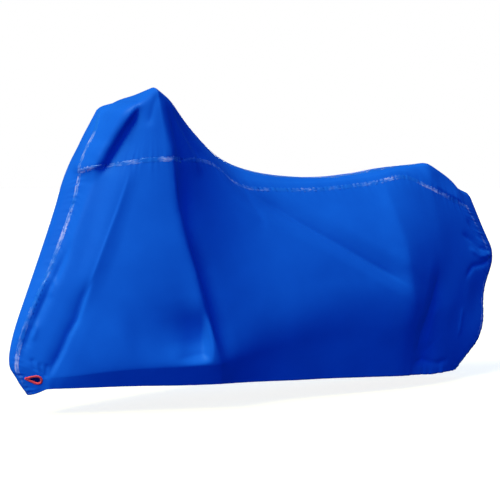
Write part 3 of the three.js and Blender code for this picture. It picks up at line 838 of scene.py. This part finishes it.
def lock_binding():
    """The solid's binding, a little fuller and smoothed."""
    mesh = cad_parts["lock_binding"].data.copy()
    mesh.name = "binding_lock"
    obj = bpy.data.objects.new("binding_lock", mesh)
    bpy.context.collection.objects.link(obj)
    in_edit(obj,
            lambda: bpy.ops.mesh.remove_doubles(threshold=SAME_POINT * MM),
            lambda: bpy.ops.mesh.tris_convert_to_quads(face_threshold=math.pi, shape_threshold=math.pi),
            lambda: bpy.ops.mesh.select_all(action="SELECT"),
            lambda: bpy.ops.transform.shrink_fatten(value=BINDING_FULLER * MM))
    soft = obj.modifiers.new("soft", "SUBSURF")
    soft.levels = 2
    soft.render_levels = 2
    bpy.ops.object.modifier_apply(modifier=soft.name)
    bpy.ops.object.shade_smooth()
    return obj


# Materials. A wave texture of scale 1 repeats at this length, in metres.
WAVE_LENGTH = math.pi / 10


def linear(code):
    """A colour's sRGB hex code as linear RGBA."""
    parts = [int(code[k:k + 2], 16) / 255 for k in (1, 3, 5)]
    return tuple(c / 12.92 if c <= 0.04045 else ((c + 0.055) / 1.055) ** 2.4 for c in parts) + (1.0,)


def add(tree, kind, settings=None, **links):
    """Adds a node, sets its properties and sockets, and links sockets to other nodes' outputs."""
    node = tree.nodes.new(kind)
    for name, value in (settings or {}).items():
        if name in node.inputs:
            node.inputs[name].default_value = value
        else:
            setattr(node, name, value)
    for name, source in links.items():
        tree.links.new(source, node.inputs[name.replace("_", " ")])
    return node


def new_material(name, settings):
    """A material with one Principled shader, its even values set on the shader's own sockets."""
    material = bpy.data.materials.new(name)
    material.use_nodes = True
    tree = material.node_tree
    tree.nodes.clear()
    shader = add(tree, "ShaderNodeBsdfPrincipled", settings)
    add(tree, "ShaderNodeOutputMaterial", Surface=shader.outputs["BSDF"])
    return material, tree, shader


def set_ramp(node, *stops):
    """Gives a ramp its stops, each a position and a colour's hex code."""
    ramp = node.color_ramp
    while len(ramp.elements) < len(stops):
        ramp.elements.new(0.5)
    for element, (position, code) in zip(ramp.elements, stops):
        element.position = position
        element.color = linear(code)
    return node


def colour_by(tree, shader, value, *stops):
    """Colours a shader by a value, with a hex code at each stop."""
    tone = set_ramp(add(tree, "ShaderNodeValToRGB", Fac=value), *stops)
    tree.links.new(tone.outputs["Color"], shader.inputs["Base Color"])


def patches(tree, spot, size, detail):
    """Soft uneven patches of about the given size in metres."""
    settings = {"Scale": 1 / size, "Detail": detail}
    return add(tree, "ShaderNodeTexNoise", settings, Vector=spot.outputs["Object"]).outputs["Fac"]


def ribbing(tree, place, spacing, direction, distortion=0.0):
    """Fine ribs at the given spacing in metres."""
    settings = {"Scale": WAVE_LENGTH / spacing, "bands_direction": direction, "Distortion": distortion}
    return add(tree, "ShaderNodeTexWave", settings, Vector=place).outputs["Fac"]


def product(tree, first, second):
    """One value times another."""
    node = add(tree, "ShaderNodeMath", {"operation": "MULTIPLY"})
    tree.links.new(first, node.inputs[0])
    tree.links.new(second, node.inputs[1])
    return node.outputs["Value"]


def raise_by(tree, shader, shape, strength, height, below=None):
    """Raises a shader's surface by a shape, over one raised before where given, and returns its normals."""
    bump = add(tree, "ShaderNodeBump", {"Strength": strength, "Distance": height}, Height=shape)
    if below is not None:
        tree.links.new(below, bump.inputs["Normal"])
    tree.links.new(bump.outputs["Normal"], shader.inputs["Normal"])
    return bump.outputs["Normal"]


def coated_nylon():
    """Plain-woven nylon with a thin polyurethane coat: deep blue, a soft broad sheen and a faint weave."""
    material, tree, shader = new_material("coated nylon, plain weave", {
        "IOR": 1.45, "Specular IOR Level": 0.35, "Specular Tint": linear("#5a90ff")})
    spot = add(tree, "ShaderNodeTexCoord")
    # Broad patches of the coat lie a shade lighter or darker, and duller or shinier.
    coat = patches(tree, spot, size=160 * MM, detail=3.0)
    colour_by(tree, shader, coat, (0.3, "#0b4bc7"), (0.7, "#0d51cf"))
    gloss = add(tree, "ShaderNodeMapRange", {"To Min": 0.42, "To Max": 0.56}, Value=coat)
    tree.links.new(gloss.outputs["Result"], shader.inputs["Roughness"])
    # The threads are about 0.4 mm apart, drawn at 1.6 mm so that they show close up.
    thread = 1.6 * MM
    warp = ribbing(tree, spot.outputs["UV"], thread, "X")
    weft = ribbing(tree, spot.outputs["UV"], thread, "Y")
    weave = raise_by(tree, shader, product(tree, warp, weft), strength=0.06, height=0.2 * MM)
    # Small soft crumples
    crumples = patches(tree, spot, size=14 * MM, detail=2.0)
    raise_by(tree, shader, crumples, strength=0.10, height=1.0 * MM, below=weave)
    return material


def seam_film():
    """Polyurethane film ironed over the stitches: the cloth's blue, shiny and crinkled, with painted pale
    highlights on the crinkles in patches.
    """
    material, tree, shader = new_material("polyurethane seam film, crinkled", {
        "IOR": 1.5, "Roughness": 0.3, "Specular Tint": linear("#6f9bff")})
    spot = add(tree, "ShaderNodeTexCoord")
    # Long narrow crinkles, whose tops carry a painted pale highlight in patches
    crinkle_length = 40 * MM
    crinkle_gap = 9 * MM
    stretch = add(tree, "ShaderNodeMapping", {"Scale": (1 / crinkle_length, 1 / crinkle_gap, 1.0)},
                  Vector=spot.outputs["UV"])
    crinkles = add(tree, "ShaderNodeTexNoise", {"Scale": 1.0, "Detail": 3.0, "Roughness": 0.6},
                   Vector=stretch.outputs["Vector"])
    # Painted highlight: the film is coloured pale where the crinkles stand high within the patches.
    painted_crinkle_highlight = product(tree, crinkles.outputs["Fac"], patches(tree, spot, size=120 * MM, detail=1.0))
    colour_by(tree, shader, painted_crinkle_highlight, (0.21, "#1253c9"), (0.30, "#4a6cd2"), (0.41, "#8a8cdc"))
    raise_by(tree, shader, crinkles.outputs["Fac"], strength=0.4, height=1.0 * MM)
    return material


def red_binding():
    """Woven polyester tape folded over the cut edge: crimson and matt, with fine cross ribs."""
    material, tree, shader = new_material("polyester binding tape, crimson", {
        "IOR": 1.5, "Roughness": 0.62, "Sheen Weight": 0.2, "Sheen Roughness": 0.5})
    spot = add(tree, "ShaderNodeTexCoord")
    # Small patches are a little faded.
    faded = patches(tree, spot, size=12 * MM, detail=3.0)
    colour_by(tree, shader, faded, (0.3, "#a80f30"), (0.7, "#d01c46"))
    cross_ribs = ribbing(tree, spot.outputs["Object"], 1.5 * MM, "X", distortion=1.0)
    raise_by(tree, shader, cross_ribs, strength=0.4, height=0.4 * MM)
    return material


def studio_floor():
    """Pale matt studio floor."""
    material, tree, shader = new_material("studio floor, matt paint", {
        "Roughness": 0.9, "IOR": 1.3, "Emission Color": (1, 1, 1, 1), "Emission Strength": 0.86})
    spot = add(tree, "ShaderNodeTexCoord")
    grain = patches(tree, spot, size=500 * MM, detail=2.0)
    colour_by(tree, shader, grain, (0.3, "#958d76"), (0.7, "#99917a"))
    return material


def wear(obj, material):
    """Gives a piece its one material."""
    obj.data.materials.clear()
    obj.data.materials.append(material)


# The pieces
NYLON = coated_nylon()
FILM = seam_film()
left_cloth = side_panel("left")
right_cloth = side_panel("right")
centre_cloth = centre_panel()
left_tape = seam_tape("left")
right_tape = seam_tape("right")
binding = lock_binding()
for cloth in (left_cloth, right_cloth, centre_cloth):
    wear(cloth, NYLON)
for tape in (left_tape, right_tape):
    wear(tape, FILM)
wear(binding, red_binding())
for piece in (left_cloth, right_cloth, centre_cloth, left_tape, right_tape, binding):
    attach(piece, "root")
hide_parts("side_panel_left", "lock_patch")
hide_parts("side_panel_right")
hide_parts("centre_panel")
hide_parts("seam_tape_left")
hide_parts("seam_tape_right")
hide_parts("lock_binding")

# Floor at ground level
FLOOR_SIDE = 400.0
bpy.ops.object.select_all(action="DESELECT")
bpy.ops.mesh.primitive_plane_add(size=FLOOR_SIDE, location=(0, 0, 0))
floor = bpy.context.object
floor.name = "studio_floor"
in_edit(floor, lambda: bpy.ops.transform.translate(value=(0, 0, -ORIGIN[2] * MM)))
wear(floor, studio_floor())
floor.visible_diffuse = False
floor.visible_glossy = False


def soft_light(name, towards, strength, colour, spread):
    """A wide, soft light from far off in the given direction, its spread in degrees."""
    data = bpy.data.lights.new(name, "SUN")
    data.energy = strength
    data.color = linear(colour)[:3]
    data.angle = math.radians(spread)
    lamp = bpy.data.objects.new(name, data)
    bpy.context.collection.objects.link(lamp)
    lamp.rotation_euler = Vector(-np.array(towards, float)).to_track_quat("-Z", "Y").to_euler()


# The main light comes from above the nose, and a weak, level one from behind lights the far side.
soft_light("key", towards=(-0.66, -0.26, 0.7), strength=6.1, colour="#fffa98", spread=30)
soft_light("far fill", towards=(0.4, 0.92, 0.0), strength=1.3, colour="#fffac0", spread=20)

# White all round to the eye, and a dimmer light for the cloth
GLOW_FROM = (-0.6, -0.3, 0.74)
SKY_STRENGTH = 0.98
world = bpy.data.worlds.new("studio")
bpy.context.scene.world = world
world.use_nodes = True
sky = world.node_tree
sky.nodes.clear()
seen = add(sky, "ShaderNodeBackground", {"Color": (1, 1, 1, 1), "Strength": 1.0})
# The dimmer light is a blue fill, brightest from above the nose and nearly dark from below the tail.
outlook = add(sky, "ShaderNodeTexCoord")
facing = add(sky, "ShaderNodeVectorMath", {"operation": "DOT_PRODUCT"}, Vector=outlook.outputs["Generated"])
facing.inputs[1].default_value = unit(np.array(GLOW_FROM))
brightness = add(sky, "ShaderNodeMapRange", {"From Min": -1.0, "From Max": 1.0},
                 Value=facing.outputs["Value"])
glow = set_ramp(add(sky, "ShaderNodeValToRGB", Fac=brightness.outputs["Result"]),
                (0.03, "#010308"), (0.97, "#45a6ff"))
lit = add(sky, "ShaderNodeBackground", {"Strength": SKY_STRENGTH}, Color=glow.outputs["Color"])
ray = add(sky, "ShaderNodeLightPath")
mixed = add(sky, "ShaderNodeMixShader", Fac=ray.outputs["Is Camera Ray"])
sky.links.new(lit.outputs["Background"], mixed.inputs[1])
sky.links.new(seen.outputs["Background"], mixed.inputs[2])
add(sky, "ShaderNodeOutputWorld", Surface=mixed.outputs["Shader"])
bpy.context.scene.view_settings.view_transform = "Standard"

# Camera at the photograph's viewing angle: where it stands in mm, its turn towards the nose and its downward
# tilt in degrees, and its focal length as a share of the picture's width
EYE = (-1845.0, -3956.0, 873.0)
EYE_TURN = 25.0
EYE_PITCH = 3.474
FOCAL_SHARE = 2.128
view = bpy.data.cameras.new("view")
view.sensor_width = 36.0
view.lens = FOCAL_SHARE * view.sensor_width
camera = bpy.data.objects.new("view", view)
bpy.context.collection.objects.link(camera)
camera.location = (np.array(EYE) - ORIGIN) * MM
camera.rotation_euler = (math.radians(90 - EYE_PITCH), 0, math.radians(-EYE_TURN))
bpy.context.scene.camera = camera
